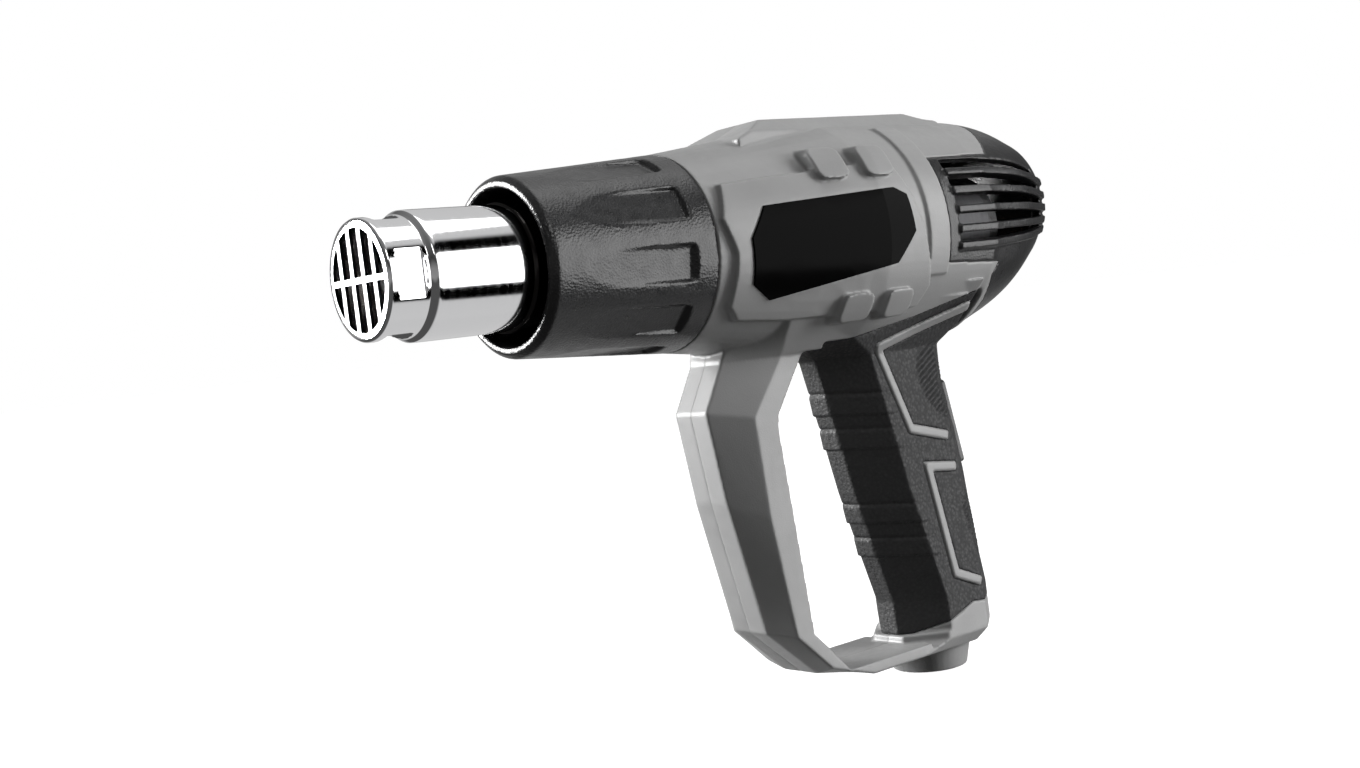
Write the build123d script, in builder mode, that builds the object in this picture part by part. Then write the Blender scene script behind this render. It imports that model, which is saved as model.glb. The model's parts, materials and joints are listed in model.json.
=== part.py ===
from build123d import *
import math
import os

os.makedirs("parts", exist_ok=True)

# A hot air gun.  X runs rearward along the barrel, Z is up and -Y is the left side.
# The origin is the centre of the outlet tube at its front shoulder.  Millimetres.

# ---------------------------------------------------------------- outlet tube
tube_r = 17.0  # slip-on nozzles seat on this diameter
tube_wall = 0.8
neck_r = 15.7  # necked front of the tube
neck_length = 13.0
neck_ramp = 2.0
seat_length = 28.6  # free length in front of the stop bead
bead_height = 0.7
bead_width = 1.6
flange_r = 22.5
flange_wall = 1.2
flat_width = 9.0  # pressed flats around the neck
flat_length = 9.0
flat_depth = 1.1
grille_wall = 1.0
grille_field_r = 13.3
grille_bar = 1.5
grille_slot = 4.1

# ---------------------------------------------------------------- nose collar
collar_front_x = 29.3
collar_lip_r = 21.3  # inside radius of the lip
collar_lip_outer_r = 23.0
collar_front_r = 24.6
collar_bore_r = 24.3  # plain bore that turns on the spigot
flute_count = 10
flute_width = 10.0
flute_depth = 2.0
flute_start = 10.0  # behind the lip
flute_end = 7.0  # in front of the joint with the body
collar_gap = 0.3  # joint line between collar and body
spigot_length = 16.0
spigot_wall = 2.2
collar_clearance = 0.3
collar_chamfer = 1.8
bayonet_count = 3
bayonet_width = 9.0
bayonet_height = 1.2
bayonet_length = 2.5
bayonet_turn = 30.0  # twist from locked to free

# ---------------------------------------------------------------- body
body_front_x = 82.3
body_front_r = 28.5
body_full_x = 140.0  # the cone reaches the motor radius here
body_r = 36.0
dome_x = 190.0  # the barrel starts to close in here
dome_length = 41.3
dome_end_r = 23.3
dome_rise = 5.9  # the end face sits above the barrel axis
wall = 2.5
hump_height = 2.0  # above the barrel
hump_top_half = 8.0
hump_foot_half = 14.0
pad_height = 2.0
pad_top_z = 17.5
pad_low_z = -23.0
lug_height = 4.2
lug_length = 11.0
lug_tall = 9.5
lug_pitch = 17.0
band_height = 1.0
band_width = 9.0
badge_wall = 1.2
badge_sink = 0.6

# ---------------------------------------------------------------- handle and guard
handle_x = 137.0  # front of the grip just under the barrel
handle_length = 93.0  # from under the barrel to the foot of the grip
grip_half = 16.0
grip_nose_half = 3.5  # narrow facet down the front
grip_back_half = 8.0
grip_bevel = 12.0
overmould_wall = 1.6
guard_half = 14.5
guard_nose_half = 7.0
guard_bar = 3.6  # thickness of the bar under the hand loop
boss_r = 12.0
boss_height = 7.5
inlet_r = 4.0  # bore for the supply cord
gland_r = 7.5
gland_length = 13.0
bracket_width = 3.2

# ---------------------------------------------------------------- fasteners
screw_r = 1.5
screw_head_r = 2.8
screw_head_height = 2.2
screw_length = 18.0
boss_wall = 2.0
fit = 0.2  # general clearance around loose pieces

# ---------------------------------------------------------------- fan and motor
motor_r = 17.5
motor_length = 38.0
motor_front_x = 172.0
can_wall = 1.2
shaft_r = 1.5875
running_clearance = 0.04
fan_length = 14.0
fan_gap = 6.0  # fan to motor mount
fan_tip_gap = 0.9
fan_hub_r = 9.0
fan_blades = 9
fan_blade_wall = 1.4
shroud_wall = 2.0
mount_wall = 2.0
stator_length = 12.0
stator_vanes = 7
bush_r = 4.0
bush_length = 4.0
end_cap_length = 4.0
magnet_wall = 3.0
armature_gap = 0.7
motor_screw_pitch = 16.0
motor_screw_r = 1.25
blade_angle = 35.0

# ---------------------------------------------------------------- heater
mica_wall = 0.5
disc_wall = 1.0
board_wall = 1.0
board_half = 12.0
heater_front_x = 10.0
heater_length = 70.0
coil_wire_r = 0.5
coil_gap = 0.1
coil_turns = 16
cutout_size = (8.0, 6.0, 3.5)
plate_wall = 2.5
plate_screw_r = 1.0
plate_screw_count = 3

# ---------------------------------------------------------------- switch
rocker_length = 20.0
rocker_width = 11.0
rocker_gap = 0.4
rocker_depth = 6.0
rocker_crown = 1.6
switch_bezel = 2.6
switch_wall = 1.2
switch_depth = 20.0
switch_lean = 11.4  # degrees, along the back of the grip
bezel_proud = 0.7
bezel_wall = 1.6
pin_r = 1.5
pin_depth = 3.0
terminal_length = 6.0

# ---------------------------------------------------------------- control board and cord clamp
pcb = (14.0, 23.0)
pcb_wall = 1.6
board_y = -6.0
board_blocks = [(-3, 6, 7, 8, 7), (4, 6, 5, 8, 5), (-3, -5, 6, 5, 3), (3.5, -5, 5, 6, 7)]
post_r = 2.6
clamp_height = 5.0
clamp_span = 13.0  # between its screws
clamp_screw_r = 1.2

# ---------------------------------------------------------------- air inlet
rib_angles = [22.9, 12.8, 3.2, -6.2, -14.3]
slot_angles = [28.6, 17.9, 8.0, -1.5, -10.3]
rib_width = 2.4
rib_height = 1.3
slot_width = 3.6


def side(points):
    """A filled outline in the side view, with points given as (x, z)."""
    Polygon(*points, align=None)


def mirrored(half):
    """A closed outline from the points of its +Y half, listed front to back."""
    return half + [(x, -y) for x, y in reversed(half)]


def radial(angle, x, centre_z=0.0):
    """A plane facing outward at an angle measured from the left side up, with its x along the barrel."""
    out = (0, -math.cos(math.radians(angle)), math.sin(math.radians(angle)))
    return Plane(origin=(x, 0, centre_z), x_dir=(1, 0, 0), z_dir=out)


def save(piece, name):
    piece.part.label = name
    export_step(piece.part, "parts/" + name + ".step")


# ================================================================ outer forms
under_z = -body_r
dome_end_x = dome_x + dome_length


def barrel_radius(x):
    """Outside radius of the cone in front of the motor housing."""
    reach = (x - body_front_x) / (body_full_x - body_front_x)
    return body_front_r + (body_r - body_front_r) * min(max(reach, 0), 1)


def barrel_profile(grow, front, rear):
    """Half section of the barrel's cone and motor housing, made larger by grow."""
    return [
        (front, 0),
        (front, barrel_radius(front) + grow),
        (body_full_x, body_r + grow),
        (rear, body_r + grow),
        (rear, 0),
    ]


# Stations of the closing rear end: share of its length, of its rise and of its taper
dome_stations = [(0, 0, 0), (0.32, 0.36, 0.2), (0.61, 0.61, 0.44), (0.87, 0.86, 0.8), (1, 1, 1)]


def dome(grow, overrun=0.0):
    """The rear end of the barrel, made larger by grow."""
    rings = []
    for share, rise, taper in dome_stations:
        x = dome_x + dome_length * share + (overrun if share == 1 else 0)
        with BuildSketch(Plane.YZ.offset(x)) as ring:
            with Locations((0, dome_rise * rise)):
                Circle(body_r + grow - (body_r - dome_end_r) * taper)
        rings.append(ring.sketch)
    loft(sections=rings)


with BuildPart() as barrel_form:
    with BuildSketch(Plane.XZ):
        side(barrel_profile(0, body_front_x, dome_x))
    revolve(axis=Axis.X)

with BuildPart() as barrel_cavity:
    with BuildSketch(Plane.XZ):
        side(barrel_profile(-wall, body_front_x + wall, dome_x))
    revolve(axis=Axis.X)

with BuildPart() as dome_form:
    dome(0)

with BuildPart() as dome_cavity:
    dome(-wall, overrun=-wall)

# Long raised hump along the top, with sloping sides
hump_z = body_r + hump_height
hump_front_x = body_full_x - 33.6
hump_rear_x = dome_x + 6
with BuildPart() as hump_form:
    with BuildSketch(Plane.XZ):
        side([
            (hump_front_x, barrel_radius(hump_front_x) - 3),
            (hump_front_x, barrel_radius(hump_front_x) - 1),
            (hump_front_x + 13.6, hump_z - 1.2),
            (dome_x - 5.4, hump_z),
            (dome_x + 1, body_r - 0.3),
            (hump_rear_x, body_r - 1),
            (hump_rear_x, body_r - 6),
        ])
    extrude(amount=hump_foot_half + 2, both=True)
    with BuildSketch(Plane.YZ.offset(hump_front_x)):
        Polygon(
            (-hump_foot_half - 2, body_r - 12),
            (-hump_foot_half, body_r - 3),
            (-hump_top_half, hump_z),
            (hump_top_half, hump_z),
            (hump_foot_half, body_r - 3),
            (hump_foot_half + 2, body_r - 12),
            align=None,
        )
    extrude(amount=hump_rear_x - hump_front_x, mode=Mode.INTERSECT)

# Raised pad on each flank, with a zigzag front edge
pad_rear_x = body_full_x + 13
with BuildPart() as pad_form:
    with BuildSketch(Plane.XZ):
        side(barrel_profile(pad_height, body_front_x + 0.5, dome_x - 20))
    revolve(axis=Axis.X)
    with BuildSketch(Plane.XZ):
        side([
            (body_front_x + 4.6, pad_top_z - 1),
            (body_front_x + 1.2, pad_top_z - 11),
            (body_front_x + 4.4, pad_top_z - 21),
            (body_front_x + 3.8, pad_low_z + 5.5),
            (body_front_x + 8, pad_low_z + 1.5),
            (body_front_x + 24, pad_low_z),
            (pad_rear_x + 4, pad_low_z - 1),
            (pad_rear_x + 7, pad_low_z + 5),
            (pad_rear_x, pad_top_z - 8),
            (pad_rear_x - 4, pad_top_z + 3),
        ])
    extrude(amount=2 * body_r, both=True, mode=Mode.INTERSECT)

# Four raised lugs on each flank, across the upper and lower edges of the pad
lug_x = body_full_x - 15.5
with BuildPart() as lug_form:
    with BuildSketch(Plane.XZ):
        side(barrel_profile(lug_height, body_front_x + 0.5, dome_x - 20))
    revolve(axis=Axis.X)
    with BuildSketch(Plane.XZ):
        for step in range(2):
            with Locations((lug_x + step * lug_pitch, pad_top_z + 3)):
                RectangleRounded(lug_length, lug_tall, 2.5)
            with Locations((lug_x + 5 + step * (lug_pitch - 1), pad_low_z + 1)):
                RectangleRounded(lug_length, lug_tall - 1.5, 2.5)
    extrude(amount=2 * body_r, both=True, mode=Mode.INTERSECT)

# Low raised band in front of each air inlet
band_x = dome_x - 31
with BuildPart() as band_form:
    with BuildSketch(Plane.XZ):
        with Locations((band_x + band_width / 2, (body_r + band_height) / 2)):
            Rectangle(band_width, body_r + band_height)
    revolve(axis=Axis.X)
    with BuildSketch(Plane.XZ):
        side([
            (band_x - 5, pad_low_z + 8),
            (band_x + 10, pad_low_z + 8),
            (band_x + 10, body_r - 4),
            (band_x - 5, body_r - 4),
        ])
    extrude(amount=2 * body_r, both=True, mode=Mode.INTERSECT)

# ---------------------------------------------------------------- grip
grip_foot_z = under_z - handle_length
# Stations down the grip: height, then front, middle and back outline as (x, half width)
top_grip = [
    (under_z + 18, [(handle_x - 17, 10), (handle_x + 2, 22), (dome_x - 4, 33), (dome_x + 3, 22)]),
    (under_z + 5, [(handle_x - 9, 8), (handle_x + 3, 18.8), (dome_x - 5, 20.6), (dome_x + 4, 13)]),
]
grip_rows = [
    (0.01, 0.0, 51.5),
    (0.14, 3.0, 51.2),
    (0.31, 7.0, 55.2),
    (0.47, 10.5, 57.4),
    (0.70, 17.0, 59.5),
    (0.87, 22.0, 62.2),
    (1.00, 22.5, 62.4),
]


def grip_stations():
    rows = list(top_grip)
    for share, front, back in grip_rows:
        rows.append((
            under_z - handle_length * share,
            [
                (handle_x + front, grip_nose_half),
                (handle_x + front + grip_bevel, grip_half),
                (handle_x + back - 11, grip_half + 0.5),
                (handle_x + back, grip_back_half),
            ],
        ))
    return rows


def grip_loft(inset):
    """The grip as a faceted loft, made smaller all round by inset."""
    slices = []
    for height, half in grip_stations():
        with BuildSketch(Plane.XY.offset(height)) as slice_face:
            Polygon(*mirrored(half), align=None)
            if inset:
                offset(amount=-inset, kind=Kind.INTERSECTION)
        slices.append(slice_face.sketch)
    loft(sections=slices, ruled=True)


with BuildPart() as grip_form:
    grip_loft(0)

with BuildPart() as grip_core:
    grip_loft(overmould_wall)

with BuildPart() as grip_cavity:
    grip_loft(overmould_wall + wall)

# The flank that spreads from guard and grip to the lower barrel
with BuildPart() as shoulder_form:
    lower = [(body_front_x + 13.5, guard_nose_half), (body_front_x + 30.7, guard_half + 0.5),
             (dome_x - 5, grip_half + 3), (dome_x + 2, 11)]
    upper = [(body_front_x + 18.7, 10), (body_front_x + 27.2, 25), (dome_x - 4, 29.6), (dome_x + 4, 20)]
    for height, half in [(under_z + 3, lower), (under_z + 14, upper)]:
        with BuildSketch(Plane.XY.offset(height)):
            Polygon(*mirrored(half), align=None)
    loft(ruled=True)

# ---------------------------------------------------------------- guard
guard_x = body_front_x + 5.9  # foremost bend of the guard
bar_top_z = grip_foot_z - 1
bar_low_z = bar_top_z - guard_bar


def guard_inner(inset):
    """Edge of the hand loop, from the top down."""
    return [
        (guard_x + 46.8 - inset, under_z + 21),
        (guard_x + 21.5 - inset, under_z - 14.2),
        (guard_x + 20.8 - inset, under_z - 18.5),
        (guard_x + 25.5 - inset, grip_foot_z + 12.7),
    ]


def guard_front(inset):
    """Front line of the guard's narrow face, from the foot up."""
    return [
        (guard_x + 12.8 + inset, grip_foot_z + 15),
        (guard_x + 3.8 + inset, under_z - 38),
        (guard_x + inset, under_z - 11),
        (guard_x + 18.4 + inset, under_z + 21),
    ]


def guard_flank(inset):
    """Front line of the guard's side face, from the foot up."""
    return [
        (guard_x + 18.8 + inset, grip_foot_z + 13),
        (guard_x + 13.8 + inset, under_z - 44),
        (guard_x + 12.1 + inset, under_z - 14),
        (guard_x + 39.7 + inset, under_z + 21),
    ]


def guard_foot():
    """The bar under the hand loop, from its top front corner round to its front bend."""
    return [
        (guard_x + 31.2, grip_foot_z + 7),
        (guard_x + 38.6, bar_top_z),
        (handle_x + 26, bar_top_z),
        (handle_x + 26, bar_low_z),
        (guard_x + 48.6, bar_low_z),
    ]


narrow_outline = guard_inner(0) + guard_foot() + [(guard_x + 31, grip_foot_z - 1)] + guard_front(0)
wide_outline = guard_inner(0) + guard_foot() + [(guard_x + 31.3, grip_foot_z + 1)] + guard_flank(0)

with BuildPart() as guard_form:
    with BuildSketch(Plane.XZ):
        side(narrow_outline)
    extrude(amount=guard_nose_half, both=True)
    with BuildSketch(Plane.XZ.offset(guard_nose_half)) as narrow_face:
        side(narrow_outline)
    with BuildSketch(Plane.XZ.offset(guard_half)) as wide_face:
        side(wide_outline)
    loft(sections=[narrow_face.sketch, wide_face.sketch], ruled=True)
    mirror(about=Plane.XZ)

with BuildPart() as guard_cavity:
    with BuildSketch(Plane.XZ):
        side(guard_inner(wall) + guard_front(wall + 0.5))
    extrude(amount=guard_nose_half - 1, both=True)
    with BuildSketch(Plane.XZ.offset(guard_nose_half - 1)) as narrow_hollow:
        side(guard_inner(wall) + guard_front(wall + 0.5))
    with BuildSketch(Plane.XZ.offset(guard_half - wall)) as wide_hollow:
        side(guard_inner(wall) + guard_flank(wall + 0.5))
    loft(sections=[narrow_hollow.sketch, wide_hollow.sketch], ruled=True)
    mirror(about=Plane.XZ)

# ---------------------------------------------------------------- base of the handle
boss_x = handle_x + 39.5
boss_z = bar_low_z - boss_height
base_top_z = grip_foot_z + 1.5
base_top = [(handle_x + 21.5, grip_nose_half + 3), (handle_x + 33, grip_half),
            (handle_x + 51, grip_half + 0.5), (handle_x + 62.2, grip_back_half)]
base_low = [(handle_x + 12, guard_half - 4), (handle_x + 20, guard_half),
            (handle_x + 47, guard_half), (handle_x + 55, grip_back_half)]
with BuildPart() as base_form:
    for height, half in [(base_top_z, base_top), (bar_top_z, base_top), (bar_low_z, base_low)]:
        with BuildSketch(Plane.XY.offset(height)):
            Polygon(*mirrored(half), align=None)
    loft(ruled=True)
    with BuildSketch(Plane.XY.offset(bar_low_z + 3)):
        with Locations((boss_x, 0)):
            Circle(boss_r + 2.5)
    with BuildSketch(Plane.XY.offset(boss_z)):
        with Locations((boss_x, 0)):
            Circle(boss_r)
    loft()

# ---------------------------------------------------------------- what belongs to which moulding
# Side view of the soft grip skin
skin_outline = [
    (handle_x - 7, under_z - 4),
    (handle_x - 8.5, under_z + 5),
    (handle_x + 2, under_z + 5),
    (handle_x + 25, under_z + 9.2),
    (handle_x + 51, under_z + 15.4),
    (handle_x + 52.4, under_z + 13.5),
    (handle_x + 51.5, under_z + 5),
    (handle_x + 58, under_z - 0.5),
    (handle_x + 75, under_z - 30),
    (handle_x + 75, grip_foot_z + 6),
    (handle_x + 45.7, grip_foot_z + 8.5),
    (handle_x + 26, base_top_z),
    (handle_x - 12, base_top_z),
]
# Raised grey brackets that show through the skin
upper_bracket = [(handle_x + 48, under_z + 10.3), (handle_x + 15, under_z + 1),
                 (handle_x + 26, under_z - 25.8), (handle_x + 42, under_z - 30)]
lower_bracket = [(handle_x + 44, under_z - 40.2), (handle_x + 31.6, under_z - 38.6),
                 (handle_x + 39, grip_foot_z + 19), (handle_x + 50, grip_foot_z + 14.4)]

with BuildPart() as bracket_form:
    for route in (upper_bracket, lower_bracket):
        with BuildSketch(Plane.XZ):
            with BuildLine():
                Polyline(*route)
            trace(line_width=bracket_width)
        extrude(amount=2 * body_r, both=True)

with BuildPart() as skin_zone:
    with BuildSketch(Plane.XZ):
        side(skin_outline)
    extrude(amount=2 * body_r, both=True)
    add(bracket_form.part, mode=Mode.SUBTRACT)

# Side view of the rear cap's share of the body
cap_outline = [
    (dome_x + 19, body_r + 10),
    (dome_x + 19, body_r - 0.6),
    (dome_x + 9, body_r - 14.5),
    (dome_x - 21, body_r - 15.3),
    (dome_x - 21, under_z + 24.3),
    (dome_x + 5, under_z + 23),
    (dome_x + 2, under_z + 19),
    (dome_x + 6, under_z + 7),
    (dome_x + 8, under_z - 10),
    (dome_end_x + 10, under_z - 10),
    (dome_end_x + 10, body_r + 10),
]
with BuildPart() as cap_zone:
    with BuildSketch(Plane.XZ):
        side(cap_outline)
    extrude(amount=2 * body_r, both=True)

# ---------------------------------------------------------------- screws that close the housing
screw_places = [
    (hump_front_x + 15.6, body_r - 5),
    (dome_x - 6, body_r - 5),
    (guard_x + 16.6, under_z - 20),
    (handle_x + 23, under_z - 8),
    (handle_x + 46, grip_foot_z + 24),
]
screw_seat_y = 8.0
screw_boss_r = screw_head_r + boss_wall - 0.6
along_y = Plane(origin=(0, 0, 0), x_dir=(1, 0, 0), z_dir=(0, 1, 0))  # its y points down


def at_side(places):
    """Places on a plane that faces the right side, from (x, z) points."""
    return [(x, -z) for x, z in places]


with BuildPart() as screw_bosses:
    with BuildSketch(along_y.offset(-2 * body_r)):
        with Locations(*at_side(screw_places)):
            Circle(screw_boss_r)
    extrude(amount=4 * body_r)

with BuildPart() as screw_holes:
    with BuildSketch(along_y.offset(screw_seat_y)):
        with Locations(*at_side(screw_places)):
            Circle(screw_head_r + fit)
    extrude(amount=2 * body_r)
    with BuildSketch(along_y):
        with Locations(*at_side(screw_places)):
            Circle(screw_r + fit)
    extrude(amount=screw_seat_y)
    with BuildSketch(along_y):
        with Locations(*at_side(screw_places)):
            Circle(screw_r)
    extrude(amount=-(screw_length - screw_seat_y))

with BuildPart() as housing_screws:
    with BuildSketch(along_y.offset(screw_seat_y)):
        with Locations(*at_side(screw_places)):
            Circle(screw_head_r)
    extrude(amount=screw_head_height)
    with BuildSketch(along_y.offset(screw_seat_y)):
        with Locations(*at_side(screw_places)):
            Circle(screw_r)
    extrude(amount=-screw_length)
    with BuildSketch(along_y.offset(screw_seat_y + screw_head_height)):
        with Locations(*at_side(screw_places)):
            Rectangle(screw_head_r, 0.6)
            Rectangle(0.6, screw_head_r)
    extrude(amount=-0.9, mode=Mode.SUBTRACT)

# ---------------------------------------------------------------- switch on the back of the grip
switch_z = under_z - 27
switch_x = handle_x + 54.8
lean = math.radians(switch_lean)
switch_face = Plane(
    origin=(switch_x, 0, switch_z),
    x_dir=(math.sin(lean), 0, -math.cos(lean)),
    z_dir=(math.cos(lean), 0, math.sin(lean)),
)
frame_length = rocker_length + 2 * (rocker_gap + switch_wall)
frame_width = rocker_width + 2 * (rocker_gap + switch_wall)
# Section of the switch across its pin: x down the grip, y outward
switch_section = Plane(origin=switch_face.origin, x_dir=switch_face.x_dir, z_dir=(0, 1, 0))

with BuildPart() as switch_socket:
    with BuildSketch(switch_face.offset(bezel_proud + 3)):
        Rectangle(frame_length, frame_width)
    extrude(amount=-(switch_depth + bezel_proud + 3))
    with BuildSketch(switch_face.offset(bezel_proud - bezel_wall)):
        Rectangle(frame_length + 2 * switch_bezel, frame_width + 2 * switch_wall)
    extrude(amount=6)

with BuildPart() as switch_body:
    with BuildSketch(switch_face.offset(bezel_proud)):
        RectangleRounded(frame_length + 2 * switch_bezel, frame_width + 2 * switch_wall, 1.5)
    extrude(amount=-bezel_wall)
    with BuildSketch(switch_face):
        Rectangle(frame_length, frame_width)
    extrude(amount=-switch_depth)
    with BuildSketch(switch_face.offset(bezel_proud)):
        Rectangle(rocker_length + 2 * rocker_gap, rocker_width + 2 * rocker_gap)
    extrude(amount=-(bezel_proud + pin_depth + rocker_depth + 3), mode=Mode.SUBTRACT)
    with BuildSketch(switch_section.offset(-body_r)):
        with Locations((0, pin_depth)):
            Circle(pin_r)
    extrude(amount=2 * body_r, mode=Mode.SUBTRACT)
    with BuildSketch(switch_face.offset(-switch_depth)):
        with GridLocations(7, 6, 3, 2):
            Rectangle(4.8, 0.8)
    extrude(amount=-terminal_length)

# ---------------------------------------------------------------- control board and cord clamp
pcb_x = handle_x + 34
pcb_z = under_z - 55.5
board_posts = [(pcb_x - 3, pcb_z + 7), (pcb_x + 3, pcb_z - 7)]
clamp_z = grip_foot_z + 10
clamp_places = [(boss_x - clamp_span / 2, clamp_z), (boss_x + clamp_span / 2, clamp_z)]

# ---------------------------------------------------------------- badges
badge_x = body_front_x + 9.3
badge_z = pad_low_z + 6.1
with BuildPart() as badge_form:
    with BuildSketch(Plane.XZ):
        side(barrel_profile(pad_height + badge_wall - badge_sink, body_front_x + 0.5, dome_x - 20))
    revolve(axis=Axis.X)
    with BuildSketch(Plane.XZ):
        side([
            (badge_x, badge_z + 17.5),
            (badge_x + 6.2, badge_z + 26.3),
            (badge_x + 53.4, badge_z + 28.8),
            (badge_x + 58.1, badge_z + 26.5),
            (badge_x + 59.2, badge_z + 15.4),
            (badge_x + 51.6, badge_z + 6.5),
            (badge_x + 7.2, badge_z),
            (badge_x + 0.7, badge_z + 4.7),
        ])
    extrude(amount=2 * body_r, both=True, mode=Mode.INTERSECT)

with BuildPart() as badge_bed:
    with BuildSketch(Plane.XZ):
        side(barrel_profile(pad_height - badge_sink, body_front_x - 1, dome_x))
    revolve(axis=Axis.X)

with BuildPart() as badges:
    add(badge_form.part)
    add(badge_bed.part, mode=Mode.SUBTRACT)

# ================================================================ housing
spigot_r = collar_bore_r - collar_clearance
spigot_front_x = body_front_x - spigot_length
bayonet_x = body_front_x - 6.0

with BuildPart() as housing_hollow:
    add(barrel_cavity.part)
    add(dome_cavity.part)
    add(grip_cavity.part)
    add(guard_cavity.part)
    with BuildSketch(Plane.XZ):
        side([
            (hump_front_x + 8, body_r - 8),
            (hump_front_x + 14, hump_z - 1.2 - wall),
            (dome_x - 6, hump_z - wall),
            (dome_x + 2, body_r - 4),
        ])
    extrude(amount=hump_top_half - 1, both=True)
    add(screw_bosses.part, mode=Mode.SUBTRACT)
    # the board and the cord clamp stand on posts from the left wall
    with BuildSketch(along_y.offset(-2 * body_r)):
        with Locations(*at_side(board_posts)):
            Circle(post_r)
    extrude(amount=2 * body_r + board_y - pcb_wall / 2, mode=Mode.SUBTRACT)
    with BuildSketch(along_y.offset(-2 * body_r)):
        with Locations(*at_side(clamp_places)):
            Circle(post_r)
    extrude(amount=2 * body_r, mode=Mode.SUBTRACT)
    # bore of the spigot and of the cord gland
    with BuildSketch(Plane.YZ.offset(spigot_front_x - 1)):
        Circle(spigot_r - spigot_wall)
    extrude(amount=spigot_length + wall + 2)
    with BuildSketch(Plane.XY.offset(boss_z - 1)):
        with Locations((boss_x, 0)):
            Circle(gland_r)
    extrude(amount=grip_foot_z - boss_z + 2)

with BuildPart() as housing:
    add(barrel_form.part)
    add(dome_form.part)
    add(hump_form.part)
    add(pad_form.part)
    add(lug_form.part)
    add(band_form.part)
    add(shoulder_form.part)
    add(guard_form.part)
    add(grip_form.part)
    add(base_form.part)
    add(cap_zone.part, mode=Mode.SUBTRACT)
    skin_room = skin_zone.part - grip_core.part
    add(skin_room, mode=Mode.SUBTRACT)
    with BuildSketch(Plane.YZ.offset(spigot_front_x)):
        Circle(spigot_r)
    extrude(amount=spigot_length + 1)
    with BuildSketch(Plane.YZ.offset(bayonet_x)):
        with PolarLocations(spigot_r, bayonet_count):
            Rectangle(4 * bayonet_height, bayonet_width)
        Circle(spigot_r + bayonet_height, mode=Mode.INTERSECT)
    extrude(amount=-bayonet_length)
    add(housing_hollow.part, mode=Mode.SUBTRACT)
    add(screw_holes.part, mode=Mode.SUBTRACT)
    add(switch_socket.part, mode=Mode.SUBTRACT)
    # pocket of each badge
    badge_sole = badge_form.part - badge_bed.part
    add(badge_sole, mode=Mode.SUBTRACT)


def halves(piece, name):
    """Write the -Y and +Y halves of a piece as NAME_left and NAME_right."""
    for suffix, keep in (("_left", Keep.TOP), ("_right", Keep.BOTTOM)):
        with BuildPart() as half:
            add(piece.part)
            split(bisect_by=Plane.XZ, keep=keep)
        save(half, name + suffix)


halves(housing, "housing")
halves(badges, "badge")

with BuildPart() as overmould:
    add(grip_form.part)
    add(skin_zone.part, mode=Mode.INTERSECT)
    add(grip_core.part, mode=Mode.SUBTRACT)
    add(barrel_cavity.part, mode=Mode.SUBTRACT)
    add(switch_socket.part, mode=Mode.SUBTRACT)
    add(screw_holes.part, mode=Mode.SUBTRACT)
halves(overmould, "overmould")

save(housing_screws, "housing_screws")

# ================================================================ rear cap
slot_front_x = dome_x - 17
slot_rear_x = dome_end_x - 5
vent_axis_z = dome_rise / 3

with BuildPart() as rib_form:
    with BuildSketch(Plane.XZ):
        with Locations((dome_x - 9.5, (body_r + rib_height) / 2)):
            Rectangle(19, body_r + rib_height)
    revolve(axis=Axis.X)
    dome(rib_height)

with BuildPart() as cap_ribs:
    for flank in (0, 180):
        for angle in rib_angles:
            turn = angle if flank == 0 else flank - angle
            with BuildSketch(radial(turn, slot_front_x, vent_axis_z)):
                with Locations(((dome_end_x - slot_front_x) / 2, 0)):
                    Rectangle(dome_end_x - slot_front_x, rib_width)
            extrude(amount=2 * body_r)
    add(rib_form.part, mode=Mode.INTERSECT)
    add(dome_cavity.part, mode=Mode.SUBTRACT)
    add(barrel_cavity.part, mode=Mode.SUBTRACT)

with BuildPart() as rear_cap:
    add(barrel_form.part)
    add(dome_form.part)
    add(cap_zone.part, mode=Mode.INTERSECT)
    add(barrel_cavity.part, mode=Mode.SUBTRACT)
    add(dome_cavity.part, mode=Mode.SUBTRACT)
    for flank in (0, 180):
        for angle in slot_angles:
            turn = angle if flank == 0 else flank - angle
            with BuildSketch(radial(turn, slot_front_x + 1, vent_axis_z)):
                with Locations(((slot_rear_x - slot_front_x) / 2, 0)):
                    Rectangle(slot_rear_x - slot_front_x, slot_width)
            extrude(amount=2 * body_r, mode=Mode.SUBTRACT)
    add(cap_ribs.part)
save(rear_cap, "rear_cap")

# ================================================================ nose collar
collar_rear_x = body_front_x - collar_gap


def collar_r(x):
    """Outside radius of the collar."""
    front = collar_front_x + collar_chamfer
    reach = (x - front) / (body_front_x - front)
    return collar_front_r + (body_front_r - collar_front_r) * reach


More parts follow.
